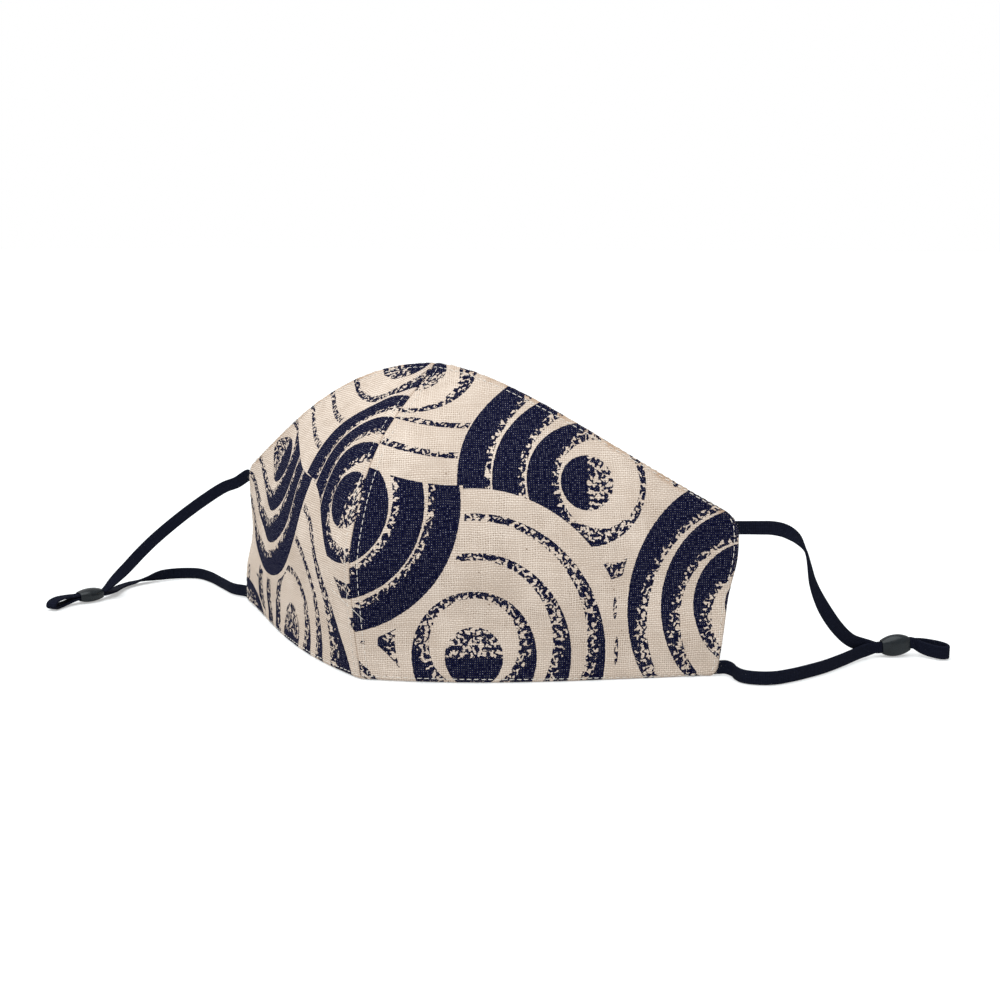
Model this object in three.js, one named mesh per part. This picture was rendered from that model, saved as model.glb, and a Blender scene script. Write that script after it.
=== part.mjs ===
// Cloth face mask lying on a table: two curved cotton panels that meet at a seam down the middle,
// and at each side one flat elastic loop with its two strands drawn through a rubber adjuster bead.
// Millimetres, +Z up, the outside of the mask towards -Y and the face side towards +Y.
import * as THREE from "three";

// Driving sizes of the cloth panels
const seamHeight = 108.3; // top end of the centre seam above the lower rim
const sideHeight = 56.3; // height of each side edge
const halfWidth = 111.5; // centre plane to the side edges
const depth = 75; // foot of the seam back to the side edges
const wall = 1.6; // outer cloth, inner cloth and the seam allowance between them
const topCorner = 5; // rounding between the top and side edges
const bottomCorner = 3.5; // rounding between the side edges and the lower rim

// Driving sizes of the elastic and the beads
const elasticWidth = 5;
const elasticThick = 1.1;
const elasticChamfer = 0.35;
const beadLength = 10.5;
const beadWall = 1.3; // rubber round the slot
const clearance = 0.3; // between pieces that touch
const exitBelowTop = 3.6; // centre of the upper strand below the top corner
const exitAboveRim = 3; // centre of the lower strand above the lower rim
const exitGap = 0.45; // from the side edge to the end of each strand
const exitLead = 2; // each strand leaves straight for this length

// The steps of the meshes
const columnsAcross = 26;
const rowsUp = 12;
const cornerSteps = 3;
const elasticSteps = 80;
const beadSides = 24;
const beadRings = 6;

// Sections of one panel, from the lower rim to the top edge at even shares of the side edge's height.
// Each one is a curve from the seam to the side edge:
// seamBack and seamUp place its seam end, as shares of depth and seamHeight,
// sideOut and sideBack place its side end, as shares of halfWidth and depth,
// seamTurn and sideTurn are its directions in plan there, in degrees from straight back,
// seamReach and sideReach say how far it keeps them, as shares of its chord,
// frontLift and backLift share out the change in height from seam to side.
const columns = ["seamBack", "seamUp", "seamTurn", "seamReach", "frontLift",
  "sideOut", "sideBack", "sideTurn", "sideReach", "backLift"];
const sections = [
  [0, 0, 73, 0.39, 0.33, 0.97, 0.89, 57, 0.29, 0.66],
  [-0.056, 0.23, 63, 0.365, 0.325, 0.98, 0.92, 46, 0.325, 0.66],
  [-0.058, 0.465, 66, 0.35, 0.27, 0.98, 0.98, 43.5, 0.35, 0.65],
  [0.178, 0.76, 81, 0.337, 0.145, 1, 1.005, 52, 0.375, 0.61],
  [0.682, 1, 103.5, 0.31, -0.017, 1, 0.992, 63, 0.4, 0.525],
];

// Each loop's route, point by point from the top corner through the bead and back to the lower corner.
// Columns: x, y, z of the strand's middle, then the direction of the elastic's width there.
// The bead sits between upper and tail, and again between tail and lower.
const loops = {
  right: {
    bead: { x: 156.4, y: 87.7, heading: 35, standing: true },
    upper: [
      [118.2, 41.9, 53.1, 0, 0, 1],
      [122.2, 44.1, 53, 0, 0.1, 1],
      [126.2, 46.5, 51.9, 0, 0.4, 0.9],
      [130.2, 48.5, 49, -0.2, 0.75, 0.6],
      [132.5, 50.3, 44.8, -0.45, 0.88, 0.1],
      [134.9, 52.4, 33.1, 0.1, 1, 0],
      [136.8, 54.6, 26.8, 0.4, 0.9, 0.1],
      [139.2, 58.9, 19.9, 0.65, 0.6, 0.35],
      [141.5, 64.4, 13.8, 0.6, 0.3, 0.7],
      [143.8, 71.2, 8.6, 0.3, 0, 0.95],
      [146, 77.8, 5.6, 0, 0, 1],
    ],
    tail: [
      [166, 94.9, 3.8, 0, 0, 1],
      [170.2, 96, 3.3, 0, 0, 1],
      [173.5, 95, 3, 0, 0, 1],
      [174.7, 92.8, 2.8, 0, 0, 1],
      [173.1, 90.9, 2.8, 0, 0, 1],
      [169.2, 91, 3, 0, 0, 1],
      [165.6, 91.6, 3.5, 0, 0, 1],
    ],
    lower: [
      [147.4, 76.6, 3.3, 0, 0, 1],
      [143.6, 64.6, 2.7, 0, 0, 1],
      [140.2, 53.1, 2.6, 0, 0, 1],
      [136.8, 44.8, 2.6, 0, 0, 1],
      [133, 37, 2.6, 0, 0, 1],
      [128.9, 31.2, 2.6, 0, 0, 1],
      [124, 28.3, 2.6, 0, 0, 1],
      [119, 27.8, 2.6, 0, 0, 1],
      [115.4, 30.2, 2.6, 0, 0, 1],
      [113, 33, 2.7, 0, 0, 1],
    ],
  },
  left: {
    bead: { x: -164.7, y: -4.5, heading: 252.5, standing: false },
    upper: [
      [-118.4, 39.4, 49.4, -0.1, 0, 1],
      [-124.5, 38, 46.9, -0.2, 0, 1],
      [-133, 33.6, 40.8, -0.3, -0.1, 0.9],
      [-141.8, 27.6, 33, -0.45, -0.15, 0.8],
      [-149, 20.2, 24.8, -0.5, -0.2, 0.75],
      [-153, 15, 19, -0.5, -0.2, 0.75],
      [-156.8, 9.4, 12.5, -0.6, -0.1, 0.6],
      [-159.9, 4.6, 7.5, -0.8, 0.2, 0.4],
    ],
    tail: [
      [-168.1, -14.6, 3.7, 0.98, -0.1, 0],
      [-168, -19.4, 3.9, 1, 0, 0],
      [-167.2, -23.2, 3.2, 1, 0.15, 0],
      [-166.9, -24.2, 2, 1, 0.15, 0],
      [-167.2, -23.2, 1, 1, 0.15, 0],
      [-168, -19.4, 0.8, 1, 0, 0],
      [-168.1, -14.6, 1.3, 0.98, -0.1, 0],
    ],
    lower: [
      [-163.2, 6.4, 2, 0.9, 0.3, 0.1],
      [-166.2, 12.2, 1.6, 0.9, 0.35, 0.1],
      [-168.8, 18.6, 1.3, 1, 0.2, 0.1],
      [-169.2, 25, 1.3, 1, 0, 0.1],
      [-167.4, 32, 1.9, 0.9, 0.1, 0.5],
      [-164, 39.2, 2.65, 0.3, 0.1, 0.9],
      [-158.8, 46.2, 2.6, 0, 0, 1],
      [-152, 49.4, 2.6, 0, 0, 1],
      [-143.6, 47.6, 2.6, 0, 0, 1],
      [-129.5, 40.5, 2.7, 0, 0, 1],
      [-118, 34.6, 2.9, 0, 0, 1],
    ],
  },
};

// Cloth panels

// The value of one column at a share of the height, on a smooth curve through its rows.
function sectionValue(name, rise) {
  const values = sections.map((row) => row[columns.indexOf(name)]);
  const last = values.length - 1;
  const first = Math.min(Math.floor(rise * last), last - 1);
  const t = rise * last - first;
  const at = (k) => {
    if (k < 0) return 2 * values[0] - values[1];
    if (k > last) return 2 * values[last] - values[last - 1];
    return values[k];
  };
  const [a, b, c, d] = [-1, 0, 1, 2].map((k) => at(first + k));
  return b + 0.5 * t * (c - a + t * (2 * a - 5 * b + 4 * c - d + t * (3 * b - a - 3 * c + d)));
}

// A plan direction turned from straight back towards the side.
function planDirection(degrees, length) {
  const angle = THREE.MathUtils.degToRad(degrees);
  return new THREE.Vector3(length * Math.sin(angle), length * Math.cos(angle), 0);
}

// The curve of one section of the right panel's outer face, from the seam to the side edge.
function sectionCurve(rise) {
  const value = (name) => sectionValue(name, rise);
  const seam = new THREE.Vector3(0, value("seamBack") * depth, value("seamUp") * seamHeight);
  const side = new THREE.Vector3(value("sideOut") * halfWidth, value("sideBack") * depth, rise * sideHeight);
  const chord = Math.hypot(side.x - seam.x, side.y - seam.y);
  const drop = side.z - seam.z;
  const front = seam.clone().add(planDirection(value("seamTurn"), value("seamReach") * chord));
  const back = side.clone().sub(planDirection(value("sideTurn"), value("sideReach") * chord));
  front.z = seam.z + drop * value("frontLift");
  back.z = seam.z + drop * value("backLift");
  return new THREE.CubicBezierCurve3(seam, front, back, side);
}

// How much of a section's curve is left where the corners are rounded.
function reachAcross(rise) {
  const chord = Math.hypot(halfWidth, depth);
  const cut = (radius, fromEdge) => {
    const inside = Math.max(0, 1 - fromEdge / radius);
    return (radius / chord) * (1 - Math.sqrt(1 - inside * inside));
  };
  return 1 - cut(bottomCorner, rise * sideHeight) - cut(topCorner, (1 - rise) * sideHeight);
}

function outerPoint(across, rise) {
  return sectionCurve(rise).getPoint(across * reachAcross(rise));
}

// Outward normal of the outer face, from small steps along and up the panel.
function outerNormal(across, rise) {
  const step = 1e-3;
  const along = outerPoint(Math.min(across + step, 1), rise).sub(outerPoint(Math.max(across - step, 0), rise));
  const share = across * reachAcross(rise);
  const above = sectionCurve(Math.min(rise + step, 1)).getPoint(share);
  const up = above.sub(sectionCurve(Math.max(rise - step, 0)).getPoint(share));
  return along.cross(up).normalize();
}

// A point in the wall, at a share of the thickness. The cut stays in the plane of the seam and of the rim.
function wallPoint(across, rise, share) {
  const normal = outerNormal(across, rise);
  const inward = normal.clone().negate();
  if (across === 0) inward.x = 0;
  if (rise === 0) inward.z = 0;
  inward.multiplyScalar(-1 / inward.dot(normal));
  return outerPoint(across, rise).addScaledVector(inward, wall * share);
}

// Shares of the height with finer rows in the rounded corners.
function rowShares() {
  const bottom = bottomCorner / sideHeight;
  const top = topCorner / sideHeight;
  const rows = [];
  for (let k = 0; k < cornerSteps; k += 1) {
    rows.push(bottom * (1 - Math.cos((k * Math.PI) / 2 / cornerSteps)));
  }
  for (let k = 0; k <= rowsUp; k += 1) {
    rows.push(bottom + ((1 - bottom - top) * k) / rowsUp);
  }
  for (let k = cornerSteps - 1; k >= 0; k -= 1) {
    rows.push(1 - top * (1 - Math.cos((k * Math.PI) / 2 / cornerSteps)));
  }
  return rows;
}

// A closed body from a grid of points whose rows and columns both close on themselves,
// or whose first and last columns are shut by flat caps.
function gridGeometry(points, triangles) {
  const geometry = new THREE.BufferGeometry().setFromPoints(points);
  geometry.setIndex(triangles);
  return geometry;
}

// One panel: outer and inner faces joined by strips along the seam, rim, side and top edges.
function panelGeometry(side) {
  const rows = rowShares();
  const width = columnsAcross + 1;
  const layer = width * rows.length;
  const points = [];
  for (const share of [0, 1]) {
    for (const rise of rows) {
      for (let k = 0; k < width; k += 1) {
        const point = wallPoint(k / columnsAcross, rise, share);
        points.push(new THREE.Vector3(side * (point.x + clearance / 2), point.y, point.z));
      }
    }
  }
  const triangles = [];
  const face = (a, b, c, d) => {
    if (side > 0) triangles.push(a, b, c, a, c, d);
    else triangles.push(a, c, b, a, d, c);
  };
  for (let r = 0; r < rows.length - 1; r += 1) {
    for (let k = 0; k < columnsAcross; k += 1) {
      const a = r * width + k;
      face(a, a + 1, a + width + 1, a + width);
      face(layer + a, layer + a + width, layer + a + width + 1, layer + a + 1);
    }
    const seam = r * width;
    const edge = seam + columnsAcross;
    face(seam, seam + width, layer + seam + width, layer + seam);
    face(edge, layer + edge, layer + edge + width, edge + width);
  }
  for (let k = 0; k < columnsAcross; k += 1) {
    const top = (rows.length - 1) * width + k;
    face(k, layer + k, layer + k + 1, k + 1);
    face(top, top + 1, layer + top + 1, layer + top);
  }
  return gridGeometry(points, triangles);
}

// Elastic loops

// A smooth curve that also carries the direction of the elastic's width.
class ElasticCurve extends THREE.CatmullRomCurve3 {
  constructor(rows) {
    super(rows.map((row) => new THREE.Vector3(row[0], row[1], row[2])), false, "centripetal");
    this.widths = rows.map((row) => new THREE.Vector3(row[3], row[4], row[5]).normalize());
  }

  // Width direction at a share of the length, square to the strand.
  widthAt(share, tangent) {
    const place = this.getUtoTmapping(share) * (this.widths.length - 1);
    const first = Math.min(Math.floor(place), this.widths.length - 2);
    const width = this.widths[first].clone().lerp(this.widths[first + 1], place - first);
    return width.addScaledVector(tangent, -width.dot(tangent)).normalize();
  }

  computeFrenetFrames(segments) {
    const frames = { tangents: [], normals: [], binormals: [] };
    for (let k = 0; k <= segments; k += 1) {
      const tangent = this.getTangentAt(k / segments);
      const width = this.widthAt(k / segments, tangent);
      frames.tangents.push(tangent);
      frames.normals.push(width);
      frames.binormals.push(tangent.clone().cross(width));
    }
    return frames;
  }
}

// The elastic's section, flat with its corners taken off.
function elasticSection() {
  const w = elasticWidth / 2;
  const t = elasticThick / 2;
  const c = elasticChamfer;
  const corners = [[-w, c - t], [c - w, -t], [w - c, -t], [w, c - t], [w, t - c], [w - c, t], [c - w, t], [-w, t - c]];
  return new THREE.Shape(corners.map(([x, y]) => new THREE.Vector2(x, y)));
}

// The middle of the wall at the side edge, or a share of the section short of it, before its corners are rounded.
function edgePoint(height, along = 1) {
  const share = height / sideHeight;
  const point = sectionCurve(share).getPoint(along);
  return point.addScaledVector(outerNormal(along, share), -wall / 2);
}

// Where a strand leaves the side edge: just clear of it, level and with its end along the edge,
// and again one lead further out.
function exitRows(side, height, middle) {
  const edge = edgePoint(height);
  const outward = edge.clone().sub(edgePoint(height, 0.97)).setZ(0).normalize();
  const width = edgePoint(height + elasticWidth / 2).sub(edgePoint(height - elasticWidth / 2)).normalize();
  return [exitGap, exitGap + exitLead].map((distance) => {
    const point = edge.clone().addScaledVector(outward, distance);
    return [side * (point.x + clearance / 2), point.y - middle.y, point.z, side * width.x, width.y, width.z];
  });
}

const doubled = (elasticThick + clearance) / 2; // middle of each strand from the bead's axis

// The strand's points inside a bead and just outside it, from back to front.
function beadPass(bead, layer) {
  const along = beadDirection(bead);
  const across = beadStack(bead).multiplyScalar(layer * doubled);
  const width = beadWidthDirection(bead);
  return [-0.6, -0.3, 0.3, 0.6].map((share) => {
    const point = beadCentre(bead).add(across).addScaledVector(along, share * beadLength);
    return [...point.toArray(), ...width.toArray()];
  });
}

// The whole route of one loop, from the top corner to the lower corner.
function loopRows(side, loop, middle) {
  return [
    ...exitRows(side, sideHeight - exitBelowTop, middle),
    ...loop.upper,
    ...beadPass(loop.bead, 1),
    ...loop.tail,
    ...beadPass(loop.bead, -1).reverse(),
    ...loop.lower,
    ...exitRows(side, exitAboveRim, middle).reverse(),
  ];
}

function loopGeometry(rows) {
  return new THREE.ExtrudeGeometry(elasticSection(), {
    steps: elasticSteps,
    bevelEnabled: false,
    extrudePath: new ElasticCurve(rows),
  });
}

// Adjuster beads

const slotWidth = elasticWidth + 2 * clearance;
const slotHeight = 2 * elasticThick + 3 * clearance;
const beadWidth = slotWidth + 2 * beadWall;
const beadHeight = slotHeight + 2 * beadWall;

function beadDirection(bead) {
  const angle = THREE.MathUtils.degToRad(bead.heading);
  return new THREE.Vector3(Math.cos(angle), Math.sin(angle), 0);
}

// The direction of the doubled elastic's width inside the bead: upright or level.
function beadWidthDirection(bead) {
  const up = new THREE.Vector3(0, 0, 1);
  return bead.standing ? up : beadDirection(bead).cross(up).negate();
}

// The direction in which the two strands lie beside or on each other.
function beadStack(bead) {
  return beadWidthDirection(bead).cross(beadDirection(bead)).multiplyScalar(bead.standing ? 1 : -1);
}

// The middle of a bead that rests on the table.
function beadCentre(bead) {
  return new THREE.Vector3(bead.x, bead.y, (bead.standing ? beadWidth : beadHeight) / 2);
}

// A rounded outline round the slot: x along the width, y along the stack.
function roundedPoint(width, height, roundness, share) {
  const angle = share * 2 * Math.PI;
  const bulge = (value) => Math.sign(value) * Math.abs(value) ** roundness;
  return [(width / 2) * bulge(Math.cos(angle)), (height / 2) * bulge(Math.sin(angle))];
}

// One bead as a ring of stations: out along the barrel from back to front, and back through the slot.
function beadGeometry(bead) {
  const along = beadDirection(bead);
  const width = beadWidthDirection(bead);
  const stack = along.clone().cross(width);
  const stations = [];
  for (let k = 0; k <= beadRings; k += 1) {
    const share = -Math.cos((k * Math.PI) / beadRings);
    const rounding = 0.8 + 0.2 * Math.sqrt(1 - share * share);
    stations.push({ place: share / 2, width: beadWidth * rounding, height: beadHeight * rounding, roundness: 0.8 });
  }
  stations.push({ place: 0.5, width: slotWidth, height: slotHeight, roundness: 0.25 });
  stations.push({ place: -0.5, width: slotWidth, height: slotHeight, roundness: 0.25 });
  const points = [];
  for (const station of stations) {
    for (let k = 0; k < beadSides; k += 1) {
      const [x, y] = roundedPoint(station.width, station.height, station.roundness, k / beadSides);
      const point = beadCentre(bead).addScaledVector(along, station.place * beadLength);
      points.push(point.addScaledVector(width, x).addScaledVector(stack, y));
    }
  }
  const triangles = [];
  for (let r = 0; r < stations.length; r += 1) {
    for (let k = 0; k < beadSides; k += 1) {
      const next = (k + 1) % beadSides;
      const ring = r * beadSides;
      const after = ((r + 1) % stations.length) * beadSides;
      triangles.push(ring + k, ring + next, after + next, ring + k, after + next, after + k);
    }
  }
  return gridGeometry(points, triangles);
}

// The mask

const canvas = new THREE.MeshStandardMaterial({ color: 0xd9c9ba, roughness: 0.95, metalness: 0 });
const canvasShade = new THREE.MeshStandardMaterial({ color: 0xcbbcae, roughness: 0.95, metalness: 0 });
const elastic = new THREE.MeshStandardMaterial({ color: 0x161925, roughness: 0.8, metalness: 0 });
const rubber = new THREE.MeshStandardMaterial({ color: 0x2e3238, roughness: 0.45, metalness: 0 });

function namedMesh(name, geometry, material) {
  const mesh = new THREE.Mesh(geometry, material);
  mesh.name = name;
  return mesh;
}

const mask = new THREE.Group();
const panels = new THREE.Group();
panels.add(namedMesh("panel_right", panelGeometry(1), canvas));
panels.add(namedMesh("panel_left", panelGeometry(-1), canvasShade));

// The origin is on the table under the middle of the panels.
const middle = new THREE.Box3().setFromObject(panels).getCenter(new THREE.Vector3()).setZ(0);
panels.position.copy(middle).negate();
mask.add(panels);

for (const [name, side] of [["right", 1], ["left", -1]]) {
  const loop = loops[name];
  mask.add(namedMesh(`ear_loop_${name}`, loopGeometry(loopRows(side, loop, middle)), elastic));
  mask.add(namedMesh(`adjuster_bead_${name}`, beadGeometry(loop.bead), rubber));
}

export default mask;
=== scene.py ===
import math
import random

import bpy
import numpy as np
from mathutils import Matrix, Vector
from mathutils.bvhtree import BVHTree


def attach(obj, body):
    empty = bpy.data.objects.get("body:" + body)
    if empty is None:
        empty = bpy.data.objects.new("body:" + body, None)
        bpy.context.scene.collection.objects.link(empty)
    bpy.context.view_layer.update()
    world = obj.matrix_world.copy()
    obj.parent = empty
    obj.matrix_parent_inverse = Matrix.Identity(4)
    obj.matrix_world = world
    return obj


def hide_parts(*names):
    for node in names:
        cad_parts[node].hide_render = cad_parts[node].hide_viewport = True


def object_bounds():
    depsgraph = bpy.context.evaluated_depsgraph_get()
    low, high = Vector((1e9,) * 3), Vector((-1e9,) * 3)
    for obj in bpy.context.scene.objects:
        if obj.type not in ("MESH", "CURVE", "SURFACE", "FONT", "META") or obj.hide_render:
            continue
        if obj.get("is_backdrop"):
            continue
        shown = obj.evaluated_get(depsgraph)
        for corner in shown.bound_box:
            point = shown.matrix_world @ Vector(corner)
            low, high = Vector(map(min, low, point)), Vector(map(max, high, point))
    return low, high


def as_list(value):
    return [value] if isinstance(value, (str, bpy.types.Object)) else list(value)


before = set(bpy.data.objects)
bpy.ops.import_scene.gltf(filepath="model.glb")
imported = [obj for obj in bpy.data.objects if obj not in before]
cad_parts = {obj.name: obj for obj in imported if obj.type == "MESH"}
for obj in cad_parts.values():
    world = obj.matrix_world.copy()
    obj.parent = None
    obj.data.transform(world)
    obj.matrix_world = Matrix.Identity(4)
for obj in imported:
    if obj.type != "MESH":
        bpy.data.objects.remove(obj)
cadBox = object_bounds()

mm = 0.001  # lengths below are in millimetres, and every mesh is made in metres
scene = bpy.context.scene

for old in [o for o in bpy.data.objects if o.type in {"CAMERA", "LIGHT"}]:
    bpy.data.objects.remove(old)


# Small helpers for points and meshes

def lerp(a, b, t):
    return a + (b - a) * t


def smooth(low, high, x):
    t = np.clip((x - low) / (high - low), 0, 1)
    return t * t * (3 - 2 * t)


def unit(v):
    return v / np.maximum(np.linalg.norm(v, axis=-1, keepdims=True), 1e-12)


def runningLength(points):
    steps = np.linalg.norm(np.diff(points, axis=0), axis=-1)
    return np.concatenate([np.zeros((1,) + steps.shape[1:]), np.cumsum(steps, axis=0)])


def evenly(points, step, *carried):
    # the same line in even steps, with anything carried along it
    length = runningLength(points)
    places = np.linspace(0, length[-1], max(2, round(length[-1] / step) + 1))
    return [np.stack([np.interp(places, length, line[:, k]) for k in range(line.shape[1])], axis=1)
            for line in (points, *carried)]


def makeObject(name, points, faces, materials, maps=None, faceMaterials=None):
    # maps holds a pair of values at every point for each UV map
    mesh = bpy.data.meshes.new(name)
    faces = faces if isinstance(faces, list) else faces.tolist()
    mesh.from_pydata((np.asarray(points) * mm).tolist(), [], faces)
    corners = np.empty(len(mesh.loops), dtype=np.int32)
    mesh.loops.foreach_get("vertex_index", corners)
    for mapName, values in (maps or {}).items():
        layer = mesh.uv_layers.new(name=mapName)
        layer.data.foreach_set("uv", np.asarray(values, dtype=np.float32)[corners].ravel())
    for material in materials:
        mesh.materials.append(material)
    if faceMaterials is not None:
        mesh.polygons.foreach_set("material_index", np.asarray(faceMaterials, dtype=np.int32))
    mesh.polygons.foreach_set("use_smooth", np.ones(len(mesh.polygons), dtype=bool))
    mesh.update()
    obj = bpy.data.objects.new(name, mesh)
    scene.collection.objects.link(obj)
    return obj


def ringFaces(rings, sides, closed=False):
    # quads between rings of points, each ring closed on itself
    first = np.arange(rings if closed else rings - 1)[:, None] * sides
    side = np.arange(sides)[None, :]
    after = (first + sides) % (rings * sides)
    nextSide = (side + 1) % sides
    quads = np.stack([first + side, first + nextSide, after + nextSide, after + side], axis=-1)
    return quads.reshape(-1, 4)


def tubeFaces(rings, sides):
    # a row of rings with both ends shut
    last = (rings - 1) * sides
    return [*ringFaces(rings, sides).tolist(), list(range(sides))[::-1], list(range(last, last + sides))]


def tubeMap(along, around):
    return np.stack(np.broadcast_arrays(along[:, None], around[None]), axis=-1).reshape(-1, 2)


def gridFaces(index):
    quads = np.stack([index[:-1, :-1], index[:-1, 1:], index[1:, 1:], index[1:, :-1]], axis=-1)
    return quads.reshape(-1, 4)


# Nodes. A Wire is an output of a node, and arithmetic with one makes the next node.

class Wire:
    def __init__(self, tree, socket):
        self.tree = tree
        self.socket = socket

    def math(self, operation, *values, clamp=False):
        return addMath(self.tree, operation, self, *values, clamp=clamp)

    def __add__(self, other):
        return self.math("ADD", other)

    def __sub__(self, other):
        return self.math("SUBTRACT", other)

    def __rsub__(self, other):
        return addMath(self.tree, "SUBTRACT", other, self)

    def __mul__(self, other):
        return self.math("MULTIPLY", other)

    __rmul__ = __mul__

    def __truediv__(self, other):
        return self.math("DIVIDE", other)

    def __gt__(self, other):
        return self.math("GREATER_THAN", other)

    def __lt__(self, other):
        return self.math("LESS_THAN", other)

    def __abs__(self):
        return self.math("ABSOLUTE")

    def sine(self):
        return self.math("SINE")

    def larger(self, other):
        return self.math("MAXIMUM", other)

    def smaller(self, other):
        return self.math("MINIMUM", other)

    def line(self, slope, offset):
        return self.math("MULTIPLY_ADD", slope, offset)


def plug(socket, value):
    # a wire is linked, a number or colour is set
    if isinstance(value, Wire):
        value.tree.links.new(value.socket, socket)
    else:
        socket.default_value = value


def addMath(tree, operation, *values, clamp=False):
    node = tree.nodes.new("ShaderNodeMath")
    node.operation = operation
    node.use_clamp = clamp
    for socket, value in zip(node.inputs, values):
        plug(socket, value)
    return Wire(tree, node.outputs[0])


def addVector(operation, a, b=None, scale=None):
    given = {0: a, 1: b, "Scale": scale}
    tree = next(value.tree for value in given.values() if isinstance(value, Wire))
    node = tree.nodes.new("ShaderNodeVectorMath")
    node.operation = operation
    for key, value in given.items():
        if value is not None:
            plug(node.inputs[key], value)
    return Wire(tree, node.outputs["Value" if operation in {"LENGTH", "DOT_PRODUCT"} else "Vector"])


def addRange(value, fromLow, fromHigh, toLow=0.0, toHigh=1.0, kind="LINEAR"):
    node = value.tree.nodes.new("ShaderNodeMapRange")
    node.interpolation_type = kind
    for socket, item in zip(node.inputs, (value, fromLow, fromHigh, toLow, toHigh)):
        plug(socket, item)
    return Wire(value.tree, node.outputs[0])


def addSmooth(value, fromLow, fromHigh):
    return addRange(value, fromLow, fromHigh, kind="SMOOTHSTEP")


def addMix(factor, a, b):
    node = factor.tree.nodes.new("ShaderNodeMix")
    node.data_type = "RGBA"
    for key, value in ((0, factor), (6, a), (7, b)):
        plug(node.inputs[key], value)
    return Wire(factor.tree, node.outputs[2])


def addNoise(vector, scale, detail=2.0, roughness=0.5, distortion=0.0):
    node = vector.tree.nodes.new("ShaderNodeTexNoise")
    plug(node.inputs["Vector"], vector)
    settings = {"Scale": scale, "Detail": detail, "Roughness": roughness, "Distortion": distortion}
    for name, value in settings.items():
        plug(node.inputs[name], value)
    return Wire(vector.tree, node.outputs[0])


def addScaled(vector, x, y, shift=(0, 0, 0)):
    node = vector.tree.nodes.new("ShaderNodeMapping")
    plug(node.inputs["Vector"], vector)
    node.inputs["Scale"].default_value = (x, y, 1)
    node.inputs["Location"].default_value = shift
    return Wire(vector.tree, node.outputs[0])


def split(vector, kind="XYZ"):
    node = vector.tree.nodes.new(f"ShaderNodeSeparate{kind}")
    plug(node.inputs[0], vector)
    return [Wire(vector.tree, socket) for socket in node.outputs]


def newGroup(name, inputs, outputs):
    # a node group with its named sockets: the wires that come in and the sockets to plug
    group = bpy.data.node_groups.new(name, "ShaderNodeTree")
    for socketName, kind, value in inputs:
        socket = group.interface.new_socket(socketName, in_out="INPUT", socket_type=f"NodeSocket{kind}")
        if value is not None:
            socket.default_value = value
    for socketName in outputs:
        group.interface.new_socket(socketName, in_out="OUTPUT", socket_type="NodeSocketFloat")
    given = group.nodes.new("NodeGroupInput").outputs
    given = {socketName: Wire(group, given[socketName]) for socketName, _, _ in inputs}
    return group, given, group.nodes.new("NodeGroupOutput").inputs


def useGroup(tree, group, values):
    node = tree.nodes.new("ShaderNodeGroup")
    node.node_tree = group
    for name, value in values.items():
        plug(node.inputs[name], value)
    return {socket.name: Wire(tree, socket) for socket in node.outputs}


def startMaterial(name, roughness, specular):
    material = bpy.data.materials.new(name)
    material.use_nodes = True
    tree = material.node_tree
    shader = tree.nodes["Principled BSDF"]
    shader.inputs["Roughness"].default_value = roughness
    shader.inputs["Specular IOR Level"].default_value = specular
    return material, tree, shader


def readMap(tree, name):
    node = tree.nodes.new("ShaderNodeUVMap")
    node.uv_map = name
    return Wire(tree, node.outputs[0])


def addBump(shader, height, strength, distance):
    bump = height.tree.nodes.new("ShaderNodeBump")
    bump.inputs["Strength"].default_value = strength
    bump.inputs["Distance"].default_value = distance
    plug(bump.inputs["Height"], height)
    plug(shader.inputs["Normal"], Wire(height.tree, bump.outputs[0]))


def aimedFrom(azimuth, elevation):
    # the direction towards a viewer or a light, by degrees round from the front and up from the table
    turn, rise = math.radians(azimuth), math.radians(elevation)
    return Vector((math.sin(turn) * math.cos(rise), -math.cos(turn) * math.cos(rise), math.sin(rise)))


def lookingAlong(direction):
    return direction.to_track_quat("-Z", "Y").to_euler()


# Camera

photoView = {
    "azimuth": 30.05,  # degrees round from the front towards the right loop
    "elevation": 10.47,  # degrees above the table
    "distance": 455.07,
    "target": (57.146, -35.452, 69.787),
    "lens": 50.4,
    "sensor": 36,
}


def addCamera(view):
    back = aimedFrom(view["azimuth"], view["elevation"])
    camera = bpy.data.objects.new("photoCamera", bpy.data.cameras.new("photoCamera"))
    camera.data.lens = view["lens"]
    camera.data.sensor_width = view["sensor"]
    camera.data.clip_start = 0.01
    camera.location = (Vector(view["target"]) + back * view["distance"]) * mm
    camera.rotation_euler = lookingAlong(-back)
    scene.collection.objects.link(camera)
    scene.camera = camera


addCamera(photoView)
print("camera placed")


# Form of the cloth panels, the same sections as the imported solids

maskShape = {
    "seamHeight": 108.3,
    "sideHeight": 56.3,
    "halfWidth": 111.5,
    "depth": 75,
    "wall": 1.6,
    "topCorner": 5,
    "bottomCorner": 3.5,
    "middleBack": 35.452,  # the foot of the seam lies this far in front of the origin
}

sectionColumns = ["seamBack", "seamUp", "seamTurn", "seamReach", "frontLift",
                  "sideOut", "sideBack", "sideTurn", "sideReach", "backLift"]
sections = np.array([
    [0, 0, 73, 0.39, 0.33, 0.97, 0.89, 57, 0.29, 0.66],
    [-0.056, 0.23, 63, 0.365, 0.325, 0.98, 0.92, 46, 0.325, 0.66],
    [-0.058, 0.465, 66, 0.35, 0.27, 0.98, 0.98, 43.5, 0.35, 0.65],
    [0.178, 0.76, 81, 0.337, 0.145, 1, 1.005, 52, 0.375, 0.61],
    [0.682, 1, 103.5, 0.31, -0.017, 1, 0.992, 63, 0.4, 0.525],
])


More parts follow.
